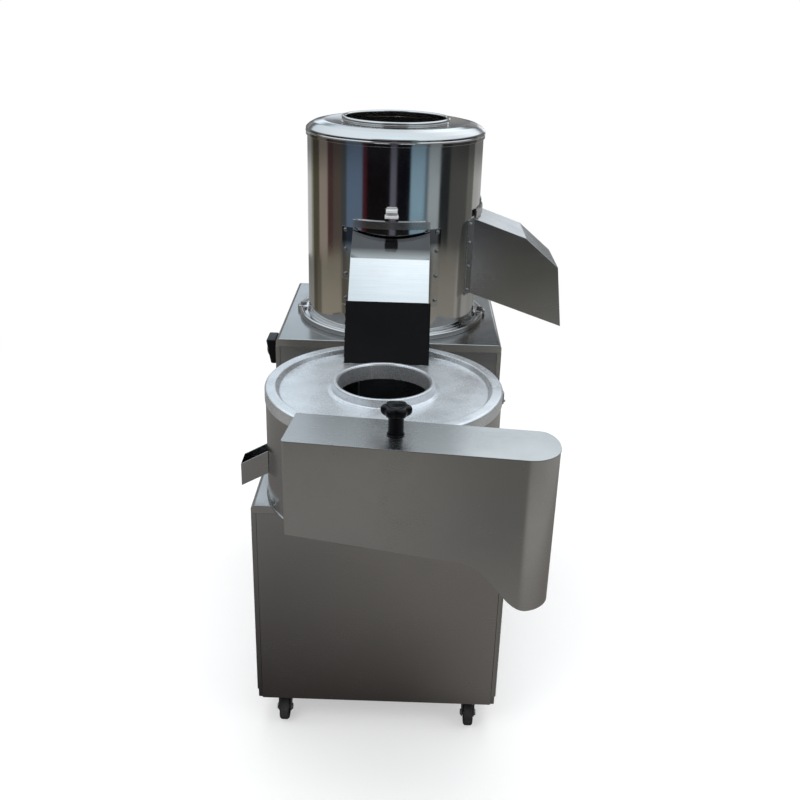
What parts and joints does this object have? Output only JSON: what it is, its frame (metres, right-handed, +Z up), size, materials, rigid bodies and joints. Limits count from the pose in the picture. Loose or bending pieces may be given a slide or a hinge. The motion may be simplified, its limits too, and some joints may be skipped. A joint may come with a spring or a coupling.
{
  "type": "potato washing and slicing machine",
  "caption": "Stainless potato washer and slicer: abrasive washing drum with front hood and side chute, centrifugal slicer with discharge cover, stepped cabinet on casters.",
  "frame": {"origin": "on the floor, under the middle of the machine's bounding box", "axes": "+Z up, +X to the right of a person facing the slicer, +Y to the back"},
  "size_m": [0.6018, 0.9742, 1.0792],
  "materials": {
    "satin_stainless": "brushed satin",
    "mirror_stainless": "mirror polished",
    "cast_aluminium": "matte sand cast",
    "zinc_steel": "zinc plated",
    "painted_iron": "dark enamel",
    "bare_iron": "machined",
    "black_plastic": "moulded",
    "green_plastic": "gloss",
    "red_plastic": "gloss",
    "black_rubber": "matte",
    "tyre": "matte",
    "grit": "coarse abrasive coating"
  },
  "bodies": {
    "frame": {"base_pan": "satin_stainless", "left_side_panel": "satin_stainless", "right_side_panel": "satin_stainless", "front_panel": "satin_stainless", "front_deck": "satin_stainless", "step_panel": "satin_stainless", "rear_deck": "satin_stainless", "rear_panel": "satin_stainless", "cable_gland": "black_plastic", "switch_housing": "black_plastic", "wash_base": "satin_stainless", "wash_drum": "mirror_stainless", "abrasive_liner": "grit", "front_hood": "satin_stainless", "front_gate_guide": "satin_stainless", "side_chute": "satin_stainless", "side_gate_guide": "satin_stainless", "water_inlet": "zinc_steel", "drain_pipe": "satin_stainless", "lug_bolt_front": "zinc_steel", "lug_bolt_right": "zinc_steel", "lug_bolt_back": "zinc_steel", "lug_bolt_left": "zinc_steel", "slicer_drum": "satin_stainless", "slicer_lid": "cast_aluminium", "lid_catch": "zinc_steel", "knife_holder": "satin_stainless", "knife_blade": "mirror_stainless", "waste_spout": "satin_stainless", "clamp_post": "satin_stainless", "motor_shelf": "zinc_steel", "motor_housing": "painted_iron", "wash_bearing_housing": "painted_iron", "slicer_bearing_housing": "painted_iron", "wash_belt": "black_rubber", "slicer_belt": "black_rubber"},
    "wash_rotor": {"abrasive_disc": "grit", "wash_shaft": "zinc_steel", "wash_pulley": "bare_iron"},
    "slicer_rotor": {"slicer_impeller": "cast_aluminium", "slicer_shaft": "zinc_steel", "slicer_pulley": "bare_iron"},
    "motor_rotor": {"motor_shaft": "zinc_steel", "motor_pulley": "bare_iron"},
    "lid": {"wash_lid": "mirror_stainless"},
    "front_gate_body": {"front_gate": "mirror_stainless"},
    "side_gate_body": {"side_gate": "mirror_stainless"},
    "curtain": {"rubber_curtain": "black_rubber"},
    "cover": {"discharge_cover": "satin_stainless"},
    "knob": {"clamp_knob": "black_plastic"},
    "start": {"start_button": "green_plastic"},
    "stop": {"stop_button": "red_plastic"},
    "fork_front_left": {"caster_fork_front_left": "zinc_steel"},
    "fork_front_right": {"caster_fork_front_right": "zinc_steel"},
    "fork_rear_left": {"caster_fork_rear_left": "zinc_steel"},
    "fork_rear_right": {"caster_fork_rear_right": "zinc_steel"},
    "wheel_front_left": {"caster_wheel_front_left": "tyre"},
    "wheel_front_right": {"caster_wheel_front_right": "tyre"},
    "wheel_rear_left": {"caster_wheel_rear_left": "tyre"},
    "wheel_rear_right": {"caster_wheel_rear_right": "tyre"}
  },
  "joints": [
    {"name": "wash_spin", "type": "hinge", "parent": "frame", "child": "wash_rotor", "pos_m": [-0.0556, 0.26678, 0.7], "axis": [0, 0, 1], "continuous": true},
    {"name": "slicer_spin", "type": "hinge", "parent": "frame", "child": "slicer_rotor", "pos_m": [-0.0556, -0.20022, 0.5], "axis": [0, 0, 1], "continuous": true},
    {"name": "motor_spin", "type": "hinge", "parent": "frame", "child": "motor_rotor", "pos_m": [-0.0556, 0.02178, 0.39], "axis": [0, 0, 1], "continuous": true},
    {"name": "lid_lift", "type": "slide", "parent": "frame", "child": "lid", "axis": [0, 0, 1], "range_m": [0, 0.06]},
    {"name": "front_gate_slide", "type": "slide", "parent": "frame", "child": "front_gate_body", "axis": [0, 0, 1], "range_m": [0, 0.092]},
    {"name": "side_gate_slide", "type": "slide", "parent": "frame", "child": "side_gate_body", "axis": [0, 0, 1], "range_m": [0, 0.105]},
    {"name": "curtain_swing", "type": "hinge", "parent": "frame", "child": "curtain", "pos_m": [-0.0556, -0.03822, 0.78279], "axis": [-1, 0, 0], "range_deg": [0, 60]},
    {"name": "cover_lift", "type": "slide", "parent": "frame", "child": "cover", "axis": [0, 0, 1], "range_m": [0, 0.06]},
    {"name": "knob_turn", "type": "hinge", "parent": "cover", "child": "knob", "pos_m": [-0.03075, -0.41177, 0.7], "axis": [0, 0, 1], "continuous": true},
    {"name": "start_press", "type": "slide", "parent": "frame", "child": "start", "axis": [0.9842, 0, 0.1772], "range_m": [0, 0.0025], "stiffness_N_per_m": 800},
    {"name": "stop_press", "type": "slide", "parent": "frame", "child": "stop", "axis": [0.9842, 0, 0.1772], "range_m": [0, 0.0025], "stiffness_N_per_m": 800},
    {"name": "swivel_front_left", "type": "hinge", "parent": "frame", "child": "fork_front_left", "pos_m": [-0.2326, -0.23022, 0.06], "axis": [0, 0, 1], "continuous": true},
    {"name": "swivel_front_right", "type": "hinge", "parent": "frame", "child": "fork_front_right", "pos_m": [0.1214, -0.23022, 0.06], "axis": [0, 0, 1], "continuous": true},
    {"name": "swivel_rear_left", "type": "hinge", "parent": "frame", "child": "fork_rear_left", "pos_m": [-0.2326, 0.41878, 0.06], "axis": [0, 0, 1], "continuous": true},
    {"name": "swivel_rear_right", "type": "hinge", "parent": "frame", "child": "fork_rear_right", "pos_m": [0.1214, 0.41878, 0.06], "axis": [0, 0, 1], "continuous": true},
    {"name": "roll_front_left", "type": "hinge", "parent": "fork_front_left", "child": "wheel_front_left", "pos_m": [-0.2326, -0.24822, 0.02479], "axis": [1, 0, 0], "continuous": true},
    {"name": "roll_front_right", "type": "hinge", "parent": "fork_front_right", "child": "wheel_front_right", "pos_m": [0.1214, -0.24822, 0.02479], "axis": [1, 0, 0], "continuous": true},
    {"name": "roll_rear_left", "type": "hinge", "parent": "fork_rear_left", "child": "wheel_rear_left", "pos_m": [-0.2326, 0.40078, 0.02479], "axis": [1, 0, 0], "continuous": true},
    {"name": "roll_rear_right", "type": "hinge", "parent": "fork_rear_right", "child": "wheel_rear_right", "pos_m": [0.1214, 0.40078, 0.02479], "axis": [1, 0, 0], "continuous": true}
  ],
  "couplings": [
    {"joint": "motor_spin", "follows": "wash_spin", "ratio": 3.5294},
    {"joint": "slicer_spin", "follows": "wash_spin", "ratio": 1.7647}
  ]
}
